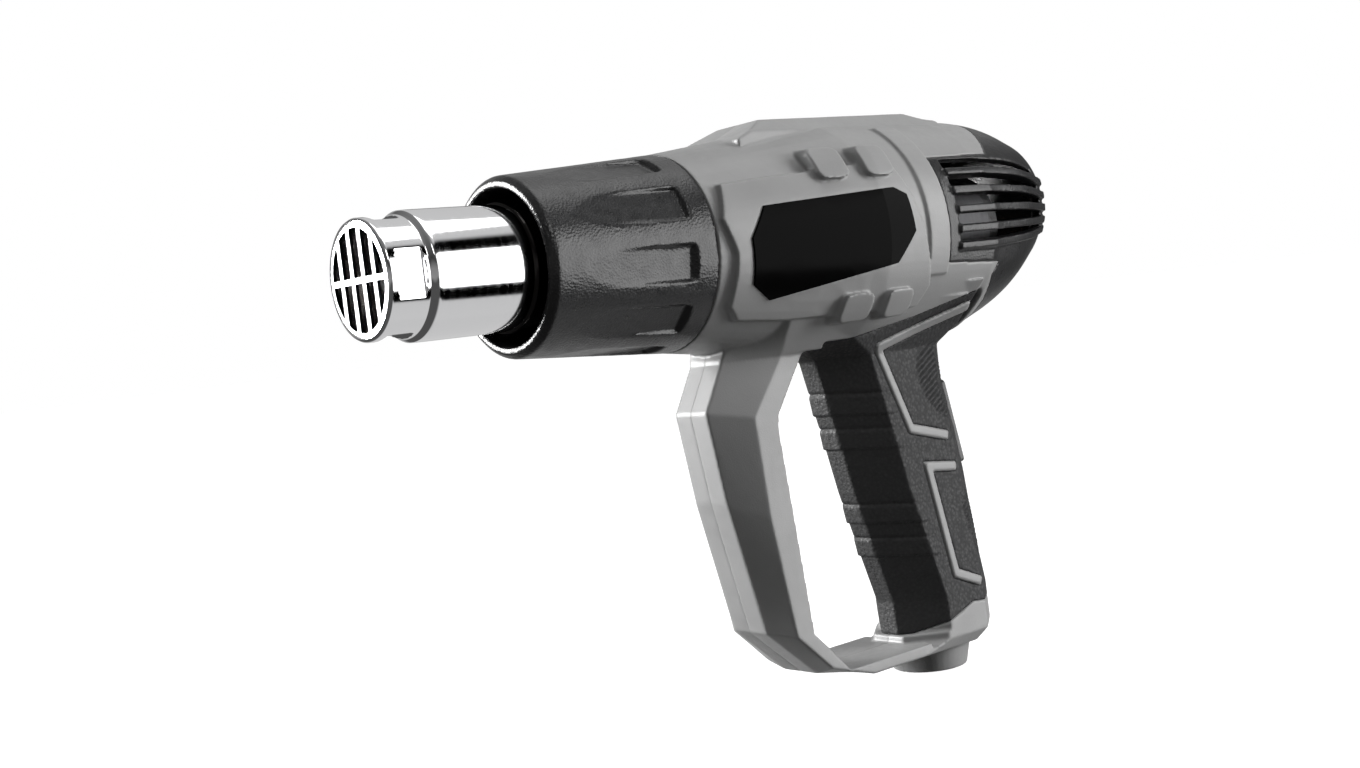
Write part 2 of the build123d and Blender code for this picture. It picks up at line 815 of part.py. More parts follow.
flute_front_x = collar_front_x + flute_start
flute_rear_x = body_front_x - flute_end
with BuildPart() as nose_collar:
    with BuildSketch(Plane.XZ):
        side([
            (collar_front_x, collar_lip_r),
            (collar_front_x, collar_lip_outer_r),
            (collar_front_x + collar_chamfer, collar_front_r),
            (collar_rear_x, collar_r(collar_rear_x)),
            (collar_rear_x, collar_bore_r),
            (spigot_front_x - 6, collar_bore_r),
            (spigot_front_x - 12, collar_bore_r - 1),
            (collar_front_x + 8, collar_lip_r + 0.6),
        ])
    revolve(axis=Axis.X)
    for k in range(flute_count):
        turn = 360 / flute_count * k - 9
        tilt = math.radians(turn)
        along = Plane(origin=(0, 0, 0), x_dir=(1, 0, 0), z_dir=(0, -math.sin(tilt), -math.cos(tilt)))
        with BuildSketch(along):
            Polygon(
                (flute_front_x, collar_r(flute_front_x)),
                (flute_rear_x - 1.5, collar_r(flute_rear_x) - flute_depth),
                (flute_rear_x, collar_r(flute_rear_x) + 0.1),
                (flute_rear_x, body_r),
                (flute_front_x, body_r),
                align=None,
            )
        extrude(amount=flute_width / 2, both=True, mode=Mode.SUBTRACT)
    # groove for the bayonet lugs, and the three slots that let them in
    with BuildSketch(Plane.YZ.offset(bayonet_x - bayonet_length - 0.4)):
        Circle(spigot_r + bayonet_height + collar_clearance)
    extrude(amount=bayonet_length + 0.8, mode=Mode.SUBTRACT)
    with BuildSketch(Plane.YZ.offset(bayonet_x)):
        with PolarLocations(spigot_r, bayonet_count, start_angle=-bayonet_turn):
            Rectangle(4 * bayonet_height, bayonet_width + 1)
        Circle(spigot_r + bayonet_height + collar_clearance, mode=Mode.INTERSECT)
    extrude(amount=body_front_x - bayonet_x, mode=Mode.SUBTRACT)
save(nose_collar, "nose_collar")

# ================================================================ outlet tube
tube_inner_r = tube_r - tube_wall
flange_front_x = body_front_x + wall
tube_rear_x = flange_front_x + flange_wall
bead_x = seat_length
with BuildPart() as nozzle_tube:
    with BuildSketch(Plane.XZ):
        side([
            (-neck_length, neck_r - 1.6),
            (-neck_length, neck_r - 0.8),
            (-neck_length + 0.8, neck_r),
            (-neck_ramp, neck_r),
            (0, tube_r),
            (bead_x, tube_r),
            (bead_x + bead_width / 2, tube_r + bead_height),
            (bead_x + bead_width, tube_r),
            (flange_front_x, tube_r),
            (flange_front_x, flange_r),
            (tube_rear_x, flange_r),
            (tube_rear_x, tube_inner_r),
            (0, tube_inner_r),
            (-neck_ramp, neck_r - tube_wall),
            (-neck_length + 1.2 + grille_wall, neck_r - tube_wall),
            (-neck_length + 1.2 + grille_wall, neck_r - 1.6),
        ])
    revolve(axis=Axis.X)
    with BuildSketch(Plane.YZ.offset(-neck_length + 2)):
        with PolarLocations(neck_r + 1 - flat_depth / 4, 4):
            Rectangle(2, flat_width)
    extrude(amount=flat_length, mode=Mode.SUBTRACT)
save(nozzle_tube, "nozzle_tube")

with BuildPart() as nozzle_grille:
    with BuildSketch(Plane.YZ.offset(-neck_length)):
        Circle(neck_r - 1.6)
    extrude(amount=grille_wall)
    with BuildSketch(Plane.YZ.offset(-neck_length)):
        Circle(grille_field_r)
        Rectangle(2 * neck_r, grille_bar, mode=Mode.SUBTRACT)
        with GridLocations(grille_slot + grille_bar, 1, 4, 1):
            Rectangle(grille_bar, 2 * neck_r, mode=Mode.SUBTRACT)
    extrude(amount=grille_wall, mode=Mode.SUBTRACT)
save(nozzle_grille, "nozzle_grille")

plate_r = barrel_radius(tube_rear_x) - wall - fit
plate_screw_ring = (flange_r + plate_r) / 2 - 0.1
with BuildPart() as tube_plate:
    with BuildSketch(Plane.YZ.offset(tube_rear_x)):
        Circle(plate_r)
        Circle(tube_inner_r, mode=Mode.SUBTRACT)
        with PolarLocations(plate_screw_ring, plate_screw_count, start_angle=30):
            Circle(plate_screw_r, mode=Mode.SUBTRACT)
    extrude(amount=plate_wall)
save(tube_plate, "tube_plate")

with BuildPart() as tube_screws:
    with BuildSketch(Plane.YZ.offset(tube_rear_x + plate_wall)):
        with PolarLocations(plate_screw_ring, plate_screw_count, start_angle=30):
            Circle(plate_screw_r + 0.6)
    extrude(amount=1.4)
    with BuildSketch(Plane.YZ.offset(tube_rear_x + plate_wall)):
        with PolarLocations(plate_screw_ring, plate_screw_count, start_angle=30):
            Circle(plate_screw_r)
    extrude(amount=-plate_wall)
save(tube_screws, "tube_screws")

# ================================================================ heater
sleeve_r = tube_inner_r
heater_rear_x = heater_front_x + heater_length
with BuildPart() as mica_sleeve:
    with BuildSketch(Plane.YZ.offset(heater_front_x)):
        Circle(sleeve_r)
        Circle(sleeve_r - mica_wall, mode=Mode.SUBTRACT)
    extrude(amount=heater_length)
save(mica_sleeve, "mica_sleeve")

for name, x in (("heater_disc_front", heater_front_x), ("heater_disc_rear", heater_rear_x - disc_wall)):
    with BuildPart() as disc:
        with BuildSketch(Plane.YZ.offset(x)):
            Circle(sleeve_r - mica_wall)
            with PolarLocations(sleeve_r * 0.52, 4, start_angle=45):
                Circle(sleeve_r * 0.27, mode=Mode.SUBTRACT)
        extrude(amount=disc_wall)
    save(disc, name)

board_front_x = heater_front_x + disc_wall
board_length = heater_length - 2 * disc_wall
for name, face, half in (("heater_board_wide", Plane.XY, 0), ("heater_board_split", Plane.XZ, 1)):
    with BuildPart() as board:
        with BuildSketch(face):
            with Locations((board_front_x + board_length / 2, 0)):
                Rectangle(board_length, 2 * board_half)
            with Locations((board_front_x + board_length * (0.75 if half else 0.25), 0)):
                Rectangle(board_length / 2, board_wall, mode=Mode.SUBTRACT)
        extrude(amount=board_wall / 2, both=True)
    save(board, name)

coil_pitch = (board_length - 6) / (coil_turns - 1)
with BuildPart() as heater_coils:
    for k in range(coil_turns):
        with BuildSketch(Plane.XZ):
            with Locations((board_front_x + 3 + coil_pitch * k, board_half + coil_gap + coil_wire_r)):
                Circle(coil_wire_r)
        revolve(axis=Axis.X)
save(heater_coils, "heater_coils")

with BuildPart() as thermal_cutout:
    with BuildSketch(Plane.YZ.offset(heater_rear_x)):
        RectangleRounded(cutout_size[1], cutout_size[2], 1)
    extrude(amount=cutout_size[0])
save(thermal_cutout, "thermal_cutout")

# ================================================================ fan and motor
duct_r = body_r - wall
mount_x = motor_front_x - mount_wall
fan_rear_x = mount_x - fan_gap
fan_front_x = fan_rear_x - fan_length
shroud_front_x = body_full_x + 2
stator_rear_x = body_full_x
blade_r = duct_r - shroud_wall - fan_tip_gap - 0.5

with BuildPart() as fan_shroud:
    with BuildSketch(Plane.YZ.offset(shroud_front_x)):
        Circle(duct_r)
        Circle(duct_r - shroud_wall, mode=Mode.SUBTRACT)
    extrude(amount=mount_x - shroud_front_x)
save(fan_shroud, "fan_shroud")

with BuildPart() as stator:
    stator_front_x = stator_rear_x - stator_length
    ring_front_r = barrel_radius(stator_front_x) - wall
    with BuildSketch(Plane.XZ):
        side([
            (stator_front_x, ring_front_r),
            (stator_rear_x, duct_r),
            (stator_rear_x, duct_r - shroud_wall),
            (stator_front_x, ring_front_r - shroud_wall),
        ])
        side([(stator_front_x, 0), (stator_front_x, 7), (stator_rear_x, 12), (stator_rear_x, 0)])
    revolve(axis=Axis.X)
    for k in range(stator_vanes):
        with BuildSketch(radial(360 / stator_vanes * k, stator_rear_x - stator_length / 2)):
            Rectangle(stator_length - 1, 1.2)
        extrude(amount=ring_front_r - 1)
save(stator, "stator")

with BuildPart() as fan_wheel:
    fan_middle_x = (fan_front_x + fan_rear_x) / 2
    chord = fan_length / math.cos(math.radians(blade_angle)) - 2
    with BuildSketch(Plane.YZ.offset(fan_front_x)):
        Circle(fan_hub_r)
    extrude(amount=fan_length)
    fillet(edges().group_by(Axis.X)[0], 2)
    for k in range(fan_blades):
        with BuildSketch(radial(360 / fan_blades * k, fan_middle_x)):
            Rectangle(chord, fan_blade_wall, rotation=blade_angle)
        extrude(amount=blade_r)
    with BuildSketch(Plane.YZ.offset(fan_front_x + 2)):
        Circle(shaft_r)
    extrude(amount=fan_length, mode=Mode.SUBTRACT)
save(fan_wheel, "fan_wheel")

motor_rear_x = motor_front_x + motor_length
with BuildPart() as motor_mount:
    with BuildSketch(Plane.YZ.offset(mount_x)):
        Circle(duct_r)
        Circle(duct_r - shroud_wall - 1, mode=Mode.SUBTRACT)
        with PolarLocations(0, 4):
            with Locations((duct_r / 2, 0)):
                Rectangle(duct_r - 2, 4)
        Circle(motor_r - 4)
        Circle(bush_r + 1, mode=Mode.SUBTRACT)
        with GridLocations(1, motor_screw_pitch, 1, 2):
            Circle(motor_screw_r, mode=Mode.SUBTRACT)
    extrude(amount=mount_wall)
save(motor_mount, "motor_mount")

with BuildPart() as motor_screws:
    for length, radius in ((-1.6, 2.2), (mount_wall + can_wall, motor_screw_r)):
        with BuildSketch(Plane.YZ.offset(mount_x)):
            with GridLocations(1, motor_screw_pitch, 1, 2):
                Circle(radius)
        extrude(amount=length)
save(motor_screws, "motor_screws")

with BuildPart() as motor_can:
    with BuildSketch(Plane.YZ.offset(motor_front_x)):
        Circle(motor_r)
    extrude(amount=motor_length)
    with BuildSketch(Plane.YZ.offset(motor_front_x + can_wall)):
        Circle(motor_r - can_wall)
    extrude(amount=motor_length, mode=Mode.SUBTRACT)
    with BuildSketch(Plane.YZ.offset(motor_front_x)):
        Circle(bush_r)
        with GridLocations(1, motor_screw_pitch, 1, 2):
            Circle(motor_screw_r)
    extrude(amount=can_wall, mode=Mode.SUBTRACT)
save(motor_can, "motor_can")

with BuildPart() as motor_end_cap:
    with BuildSketch(Plane.YZ.offset(motor_rear_x)):
        Circle(motor_r)
        Circle(bush_r, mode=Mode.SUBTRACT)
    extrude(amount=end_cap_length)
    with BuildSketch(Plane.YZ.offset(motor_rear_x + end_cap_length)):
        with GridLocations(24, 1, 2, 1):
            Rectangle(1, 5)
    extrude(amount=5)
save(motor_end_cap, "motor_end_cap")

magnet_r = motor_r - can_wall
with BuildPart() as motor_magnets:
    with BuildSketch(Plane.YZ.offset(motor_front_x + 6)):
        Circle(magnet_r)
        Circle(magnet_r - magnet_wall, mode=Mode.SUBTRACT)
        Rectangle(8, 2 * motor_r, mode=Mode.SUBTRACT)
    extrude(amount=motor_length - 14)
save(motor_magnets, "motor_magnets")

armature_r = magnet_r - magnet_wall - armature_gap
with BuildPart() as armature:
    with BuildSketch(Plane.YZ.offset(motor_front_x + 8)):
        Circle(armature_r)
        with PolarLocations(armature_r - 2.5, 5):
            Rectangle(7, 1.6, mode=Mode.SUBTRACT)
    extrude(amount=motor_length - 18)
    with BuildSketch(Plane.YZ.offset(motor_front_x + 8)):
        Circle(4.2)
    extrude(amount=motor_length - 11)
    with BuildSketch(Plane.YZ.offset(motor_front_x)):
        Circle(shaft_r)
    extrude(amount=motor_length + 4, mode=Mode.SUBTRACT)
save(armature, "armature")

with BuildPart() as motor_shaft:
    with BuildSketch(Plane.YZ.offset(fan_front_x + 2)):
        Circle(shaft_r)
    extrude(amount=motor_rear_x + end_cap_length + 1 - fan_front_x - 2)
save(motor_shaft, "motor_shaft")

bushes = (("bush_front", motor_front_x, bush_length), ("bush_rear", motor_rear_x, end_cap_length))
for name, x, length in bushes:
    with BuildPart() as bush:
        with BuildSketch(Plane.YZ.offset(x)):
            Circle(bush_r)
            Circle(shaft_r + running_clearance, mode=Mode.SUBTRACT)
        extrude(amount=length)
    save(bush, name)

# ================================================================ switch
save(switch_body, "switch_body")

with BuildPart() as rocker_pin:
    with BuildSketch(switch_section.offset(-frame_width / 2)):
        with Locations((0, pin_depth)):
            Circle(pin_r)
    extrude(amount=frame_width)
save(rocker_pin, "rocker_pin")

rocker_r = rocker_length / 2 + 0.2
with BuildPart() as switch_rocker:
    with BuildSketch(switch_section.offset(-rocker_width / 2)):
        with Locations((0, pin_depth)):
            Circle(rocker_r)
        with Locations((0, (pin_depth + 3 - rocker_crown) / 2)):
            Rectangle(2 * rocker_r, pin_depth + 3 + rocker_crown, mode=Mode.INTERSECT)
        Polygon(
            (-rocker_r, -rocker_crown - 1),
            (rocker_r, -rocker_crown - 1),
            (rocker_r, -rocker_crown - 0.01),
            (0, 0),
            (-rocker_r, -rocker_crown - 0.01),
            align=None,
            mode=Mode.SUBTRACT,
        )
        with Locations((0, pin_depth)):
            Circle(pin_r + running_clearance, mode=Mode.SUBTRACT)
    extrude(amount=rocker_width)
save(switch_rocker, "switch_rocker")

# ================================================================ electrics in the handle
with BuildPart() as control_board:
    with BuildSketch(along_y.offset(board_y - pcb_wall / 2)):
        with Locations(*at_side([(pcb_x, pcb_z)])):
            Rectangle(*pcb)
    extrude(amount=pcb_wall)
save(control_board, "control_board")

board_face = board_y + pcb_wall / 2
with BuildPart() as board_parts:
    # each part on the board: its place, its length, height and thickness
    for x, z, long, tall, thick in board_blocks:
        with BuildSketch(along_y.offset(board_face)):
            with Locations(*at_side([(pcb_x + x, pcb_z + z)])):
                Rectangle(long, tall)
        extrude(amount=thick)
save(board_parts, "board_parts")

with BuildPart() as cable_clamp:
    with BuildSketch(along_y):
        with Locations(*at_side([(boss_x, clamp_z)])):
            RectangleRounded(clamp_span + 4.5, 7, 2)
        with Locations(*at_side(clamp_places)):
            Circle(clamp_screw_r, mode=Mode.SUBTRACT)
    extrude(amount=clamp_height)
    with BuildSketch(Plane.XY.offset(grip_foot_z)):
        with Locations((boss_x, 0)):
            Circle(inlet_r - 0.3)
    extrude(amount=20, mode=Mode.SUBTRACT)
save(cable_clamp, "cable_clamp")

with BuildPart() as clamp_screws:
    for length, radius in ((1.6, clamp_screw_r + 1), (-clamp_height, clamp_screw_r)):
        with BuildSketch(along_y.offset(clamp_height)):
            with Locations(*at_side(clamp_places)):
                Circle(radius)
        extrude(amount=length)
save(clamp_screws, "clamp_screws")

with BuildPart() as cable_inlet:
    with BuildSketch(Plane.XY.offset(boss_z)):
        with Locations((boss_x, 0)):
            Circle(gland_r)
            Circle(inlet_r, mode=Mode.SUBTRACT)
    extrude(amount=gland_length)
save(cable_inlet, "cable_inlet")
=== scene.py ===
import json
import math

import bmesh
import bpy
import numpy as np
from mathutils import Matrix, Vector


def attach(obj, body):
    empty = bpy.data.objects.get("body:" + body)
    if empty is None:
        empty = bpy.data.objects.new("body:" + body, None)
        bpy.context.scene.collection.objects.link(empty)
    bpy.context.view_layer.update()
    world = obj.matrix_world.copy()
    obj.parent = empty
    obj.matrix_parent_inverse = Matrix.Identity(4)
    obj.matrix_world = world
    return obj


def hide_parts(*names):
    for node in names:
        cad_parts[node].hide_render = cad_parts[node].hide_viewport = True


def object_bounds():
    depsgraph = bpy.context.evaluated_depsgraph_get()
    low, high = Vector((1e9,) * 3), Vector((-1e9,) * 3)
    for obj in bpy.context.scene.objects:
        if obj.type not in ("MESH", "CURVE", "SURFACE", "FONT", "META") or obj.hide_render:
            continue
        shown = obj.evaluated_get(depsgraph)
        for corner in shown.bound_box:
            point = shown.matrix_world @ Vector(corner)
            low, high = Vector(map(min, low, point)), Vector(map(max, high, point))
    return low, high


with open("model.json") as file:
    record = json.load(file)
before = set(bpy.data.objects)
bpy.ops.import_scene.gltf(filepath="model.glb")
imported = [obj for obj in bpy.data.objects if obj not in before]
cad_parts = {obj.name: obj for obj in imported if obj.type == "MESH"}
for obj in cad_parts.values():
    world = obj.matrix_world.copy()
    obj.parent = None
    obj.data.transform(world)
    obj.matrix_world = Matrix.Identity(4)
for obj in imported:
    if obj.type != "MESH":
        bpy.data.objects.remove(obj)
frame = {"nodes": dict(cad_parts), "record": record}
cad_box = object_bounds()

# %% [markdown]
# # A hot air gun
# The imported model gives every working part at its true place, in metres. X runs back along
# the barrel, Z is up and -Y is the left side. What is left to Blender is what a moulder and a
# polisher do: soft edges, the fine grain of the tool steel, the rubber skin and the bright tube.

MM = 0.001
nodes = frame["nodes"]

# %% [markdown]
# ## Where the camera stands
# The gun is seen a little turned, nozzle towards the lens, and the camera is tilted until the gun
# sits well in the frame. A plain rotation by three angles says this better than a Track To
# constraint, because a constraint always keeps the camera level.

# %% camera
camera_data = bpy.data.cameras.new("camera")
camera_data.lens = 42.35
camera_data.sensor_width = 36
camera_data.clip_start = 0.01
camera = bpy.data.objects.new("camera", camera_data)
bpy.context.scene.collection.objects.link(camera)
bpy.context.scene.camera = camera
turn, tip, tilt = math.radians(-39.17), math.radians(-2.32), math.radians(6.90)
look = Matrix.Rotation(turn, 3, "Z") @ Matrix.Rotation(tip, 3, "X") @ Matrix.Rotation(tilt, 3, "Y")
camera.matrix_world = Matrix.Translation((-0.2064, -0.3586, -0.0190)) @ (
    look @ Matrix.Rotation(math.radians(90), 3, "X")
).to_4x4()
print("camera at", [round(v, 3) for v in camera.location])

# %% [markdown]
# ## Light
# Satin plastic shows its form by how each face is turned to a lamp. Two tall soft boxes do most
# of the work. One stands in front and beyond the gun, so it only rakes the narrow front faces.
# The other stands behind and beside it, so the flanks are lit and the bevels that look at the
# lens stay dark. A small lamp near the lens lifts the collar and fades towards the foot.

# %% soft boxes
middle = (Vector(cad_box[0]) + Vector(cad_box[1])) / 2


def soft_box(name, place, size, watts, aim=middle):
    """A rectangular lamp at a place relative to the gun's middle, aimed at it."""
    lamp = bpy.data.lights.new(name, "AREA")
    lamp.shape = "RECTANGLE"
    lamp.size, lamp.size_y = size
    lamp.energy = watts
    box = bpy.data.objects.new(name, lamp)
    bpy.context.scene.collection.objects.link(box)
    box.location = middle + Vector(place)
    box.rotation_euler = (Vector(aim) - box.location).to_track_quat("-Z", "Y").to_euler()
    return box


front_box = soft_box("front_box", (-0.86, 0.98, 0.25), (0.35, 0.9), 46)
side_box = soft_box("side_box", (0.88, -0.84, 0.30), (0.45, 0.9), 21)
top_box = soft_box("top_box", (0.2, -0.1, 1.2), (0.9, 0.9), 4)
near_lamp = soft_box("near_lamp", (-0.22, -0.32, 0.30), (0.12, 0.12), 0.22, aim=(0.09, 0, 0.01))
side_box.visible_glossy = False
for lamp in (front_box, side_box, top_box, near_lamp):
    print(lamp.name, [round(v, 2) for v in lamp.location], lamp.data.energy, "W")

# %% [markdown]
# ## The room
# The lens sees a plain white room, and dull surfaces feel an even, weak fill. Polished steel is
# different: it shows nothing but the room, and in an all white room it reads as white plastic.
# So mirrors see a room with one bright window beside the gun, dark strips above and below the
# window, and a pale ceiling and floor. The window also gives the black plastics their sheen, so
# the side box itself is hidden from mirrors. The Light Path node tells the kinds of ray apart.

# %% room
world = bpy.data.worlds.new("studio")
bpy.context.scene.world = world
world.use_nodes = True
sky = world.node_tree
sky.nodes.clear()


def mixed(tree, factor, first, second):
    """One of two shaders, or a blend of both, by a factor."""
    mix = tree.nodes.new("ShaderNodeMixShader")
    tree.links.new(factor, mix.inputs[0])
    tree.links.new(first.outputs[0], mix.inputs[1])
    tree.links.new(second.outputs[0], mix.inputs[2])
    return mix


def room_light(strength):
    """A background shader of one strength."""
    light = sky.nodes.new("ShaderNodeBackground")
    light.inputs["Color"].default_value = (1, 1, 1, 1)
    light.inputs["Strength"].default_value = strength
    return light


def room_heights(stops):
    """Grey levels by height, from -1 straight down to 1 straight up."""
    ramp = sky.nodes.new("ShaderNodeValToRGB")
    for height, level in stops[1:-1]:
        ramp.color_ramp.elements.new((height + 1) / 2)
    for stop, (height, level) in zip(ramp.color_ramp.elements, stops):
        stop.position = (height + 1) / 2
        stop.color = (level, level, level, 1)
    sky.links.new(climb.outputs["Result"], ramp.inputs["Fac"])
    return ramp.outputs["Color"]


def room_choice(factor, first, second):
    """Mixes two colours by a factor."""
    mix = sky.nodes.new("ShaderNodeMix")
    mix.data_type = "RGBA"
    sky.links.new(factor, mix.inputs["Factor"])
    sky.links.new(first, mix.inputs["A"])
    sky.links.new(second, mix.inputs["B"])
    return mix.outputs["Result"]


def room_side(axis, low, high):
    """0 to 1 across a soft border between two sides of the room."""
    border = sky.nodes.new("ShaderNodeMapRange")
    border.inputs["From Min"].default_value = low
    border.inputs["From Max"].default_value = high
    sky.links.new(split.outputs[axis], border.inputs["Value"])
    return border.outputs["Result"]


direction = sky.nodes.new("ShaderNodeTexCoord")
split = sky.nodes.new("ShaderNodeSeparateXYZ")
sky.links.new(direction.outputs["Generated"], split.inputs[0])
climb = sky.nodes.new("ShaderNodeMapRange")
climb.inputs["From Min"].default_value = -1
sky.links.new(split.outputs["Z"], climb.inputs["Value"])
window_side = room_heights([
    (-1, 0.16), (-0.68, 0.15), (-0.64, 0.0), (-0.42, 0.0), (-0.37, 1.0), (0.44, 1.0),
    (0.49, 0.0), (0.68, 0.0), (0.74, 0.15), (1, 0.16),
])
far_side = room_heights([
    (-1, 0.15), (-0.3, 0.16), (-0.02, 0.1), (0.02, 0.005), (0.2, 0.015), (0.35, 0.14), (1, 0.16),
])
lens_side = room_heights([(-1, 0.02), (-0.2, 0.02), (-0.1, 0.07), (0.1, 0.06), (0.3, 0.01), (1, 0.06)])
dark_end = room_heights([(-1, 0.03), (0, 0.02), (0.5, 0.01), (1, 0.1)])
behind = room_choice(room_side("Y", -0.05, 0.05), window_side, far_side)
beside = room_choice(room_side("X", 0.0, 0.25), lens_side, behind)
mirrored_room = room_light(4.0)
sky.links.new(room_choice(room_side("X", 0.80, 0.92), beside, dark_end), mirrored_room.inputs["Color"])

# %% which ray sees what
path = sky.nodes.new("ShaderNodeLightPath")
weak_fill, white = room_light(0.07), room_light(1.0)
unseen = mixed(sky, path.outputs["Is Glossy Ray"], weak_fill, mirrored_room)
seen = mixed(sky, path.outputs["Is Camera Ray"], unseen, white)
out = sky.nodes.new("ShaderNodeOutputWorld")
sky.links.new(seen.outputs[0], out.inputs[0])
bpy.context.scene.view_settings.view_transform = "Standard"
print(len(sky.nodes), "nodes light the room")

# %% [markdown]
# ## Finishes
# Each finish is one Principled shader with a few texture nodes. A helper makes the material and
# hands back its node tree, so each finish below only says what is special about it. Numbers that
# are the same all over go straight on the shader's own sockets.


# %% finish helpers
def finish(name, colour, roughness, metallic=0.0, **sockets):
    """A new Principled material, with its tree and shader."""
    material = bpy.data.materials.new(name)
    material.use_nodes = True
    tree = material.node_tree
    shader = tree.nodes["Principled BSDF"]
    shader.inputs["Base Color"].default_value = (*colour, 1)
    shader.inputs["Roughness"].default_value = roughness
    shader.inputs["Metallic"].default_value = metallic
    for socket, value in sockets.items():
        shader.inputs[socket.replace("_", " ")].default_value = value
    material.diffuse_color = (*colour, 1)
    return material, tree, shader


def grain(tree, kind, scale, stretch=(1, 1, 1), **settings):
    """A texture node in the gun's own metres, stretched along an axis where asked."""
    place = tree.nodes.new("ShaderNodeTexCoord")
    mapping = tree.nodes.new("ShaderNodeMapping")
    mapping.inputs["Scale"].default_value = stretch
    texture = tree.nodes.new(kind)
    texture.inputs["Scale"].default_value = scale
    for socket, value in settings.items():
        texture.inputs[socket.replace("_", " ")].default_value = value
    tree.links.new(place.outputs["Object"], mapping.inputs["Vector"])
    tree.links.new(mapping.outputs["Vector"], texture.inputs["Vector"])
    return texture.outputs[0]


def along_barrel(tree, start, end):
    """0 to 1 between two places on the X axis, given in millimetres."""
    place = tree.nodes.new("ShaderNodeTexCoord")
    split = tree.nodes.new("ShaderNodeSeparateXYZ")
    tree.links.new(place.outputs["Object"], split.inputs[0])
    way = tree.nodes.new("ShaderNodeMapRange")
    way.inputs["From Min"].default_value = start * MM
    way.inputs["From Max"].default_value = end * MM
    tree.links.new(split.outputs["X"], way.inputs["Value"])
    return way.outputs["Result"]


def spread(tree, value, low, high, start=0.3, end=0.7):
    """Turns a texture value into a range of grey levels or colours."""
    ramp = tree.nodes.new("ShaderNodeValToRGB")
    for stop, place, colour in zip(ramp.color_ramp.elements, (start, end), (low, high)):
        stop.position = place
        stop.color = (*colour, 1) if isinstance(colour, tuple) else (colour, colour, colour, 1)
    tree.links.new(value, ramp.inputs["Fac"])
    return ramp.outputs["Color"]


def bumped(tree, shader, value, height, strength=1.0, under=None):
    """Lifts the surface by a texture value; height is in metres."""
    bump = tree.nodes.new("ShaderNodeBump")
    bump.inputs["Distance"].default_value = height
    bump.inputs["Strength"].default_value = strength
    tree.links.new(value, bump.inputs["Height"])
    if under is not None:
        tree.links.new(under, bump.inputs["Normal"])
    tree.links.new(bump.outputs["Normal"], shader.inputs["Normal"])
    return bump.outputs["Normal"]


# %% moulded plastics
def grey_moulding():
    """Mid grey nylon with a spark-eroded satin surface."""
    material, tree, shader = finish("grey_moulding", (0.27, 0.27, 0.275), 0.4)
    cloud = grain(tree, "ShaderNodeTexNoise", 60, Detail=3)
    tree.links.new(spread(tree, cloud, 0.262, 0.285), shader.inputs["Base Color"])
    rub = grain(tree, "ShaderNodeTexNoise", 400, Detail=4)
    tree.links.new(spread(tree, rub, 0.36, 0.46), shader.inputs["Roughness"])
    pits = grain(tree, "ShaderNodeTexNoise", 2600, Detail=2)
    bumped(tree, shader, pits, 0.00012, 0.35)
    return material


def black_moulding():
    """Black heat-proof nylon with a coarser grain."""
    material, tree, shader = finish("black_moulding", (0.010, 0.010, 0.0105), 0.32, Specular_IOR_Level=0.6)
    rub = grain(tree, "ShaderNodeTexNoise", 300, Detail=4)
    tree.links.new(spread(tree, rub, 0.27, 0.38), shader.inputs["Roughness"])
    pits = grain(tree, "ShaderNodeTexVoronoi", 1500)
    bumped(tree, shader, pits, 0.00018, 0.4)
    return material


def soft_rubber():
    """Soft black grip skin with a leathery grain."""
    material, tree, shader = finish("soft_rubber", (0.016, 0.016, 0.0165), 0.66)
    cells = grain(tree, "ShaderNodeTexVoronoi", 900)
    tree.links.new(spread(tree, cells, 0.5, 0.7, 0.1, 0.6), shader.inputs["Roughness"])
    folds = grain(tree, "ShaderNodeTexNoise", 500, Detail=5)
    first = bumped(tree, shader, folds, 0.0003, 0.4)
    bumped(tree, shader, cells, 0.0003, 0.45, under=first)
    return material


def gloss_plate():
    """Deep gloss black with a clear face."""
    material, tree, shader = finish("gloss_plate", (0.002, 0.002, 0.002), 0.2, Specular_IOR_Level=0.02)
    haze = grain(tree, "ShaderNodeTexNoise", 90, Detail=4)
    tree.links.new(spread(tree, haze, 0.16, 0.24), shader.inputs["Roughness"])
    return material


# %% metals
def bright_steel():
    """Polished sheet steel with the wheel's faint rings, and painted shade where it runs inside the collar.
    """
    material, tree, shader = finish("bright_steel", (0.86, 0.86, 0.87), 0.08, 1.0)
    # Painted shade: the steel's colour turns near black from 24 to 28.5 mm along X, where the tube runs into
    # the dark collar.
    inside = along_barrel(tree, 24, 28.5)
    painted_collar_shade = spread(tree, inside, (0.86, 0.86, 0.87), (0.035, 0.033, 0.032), 0.1, 0.9)
    tree.links.new(painted_collar_shade, shader.inputs["Base Color"])
    rings = grain(tree, "ShaderNodeTexNoise", 900, (1, 0.03, 0.03), Detail=3)
    tree.links.new(spread(tree, rings, 0.06, 0.12), shader.inputs["Roughness"])
    cloud = grain(tree, "ShaderNodeTexNoise", 120, Detail=4)
    bumped(tree, shader, cloud, 0.0001, 0.12)
    return material


def plain_metal(name, colour, roughness):
    """Turned or stamped metal with fine marks around the barrel axis."""
    material, tree, shader = finish(name, colour, roughness, 1.0)
    marks = grain(tree, "ShaderNodeTexNoise", 1200, (1, 0.1, 0.1), Detail=3)
    tree.links.new(spread(tree, marks, roughness - 0.08, roughness + 0.1), shader.inputs["Roughness"])
    bumped(tree, shader, marks, 0.00005, 0.3)
    return material


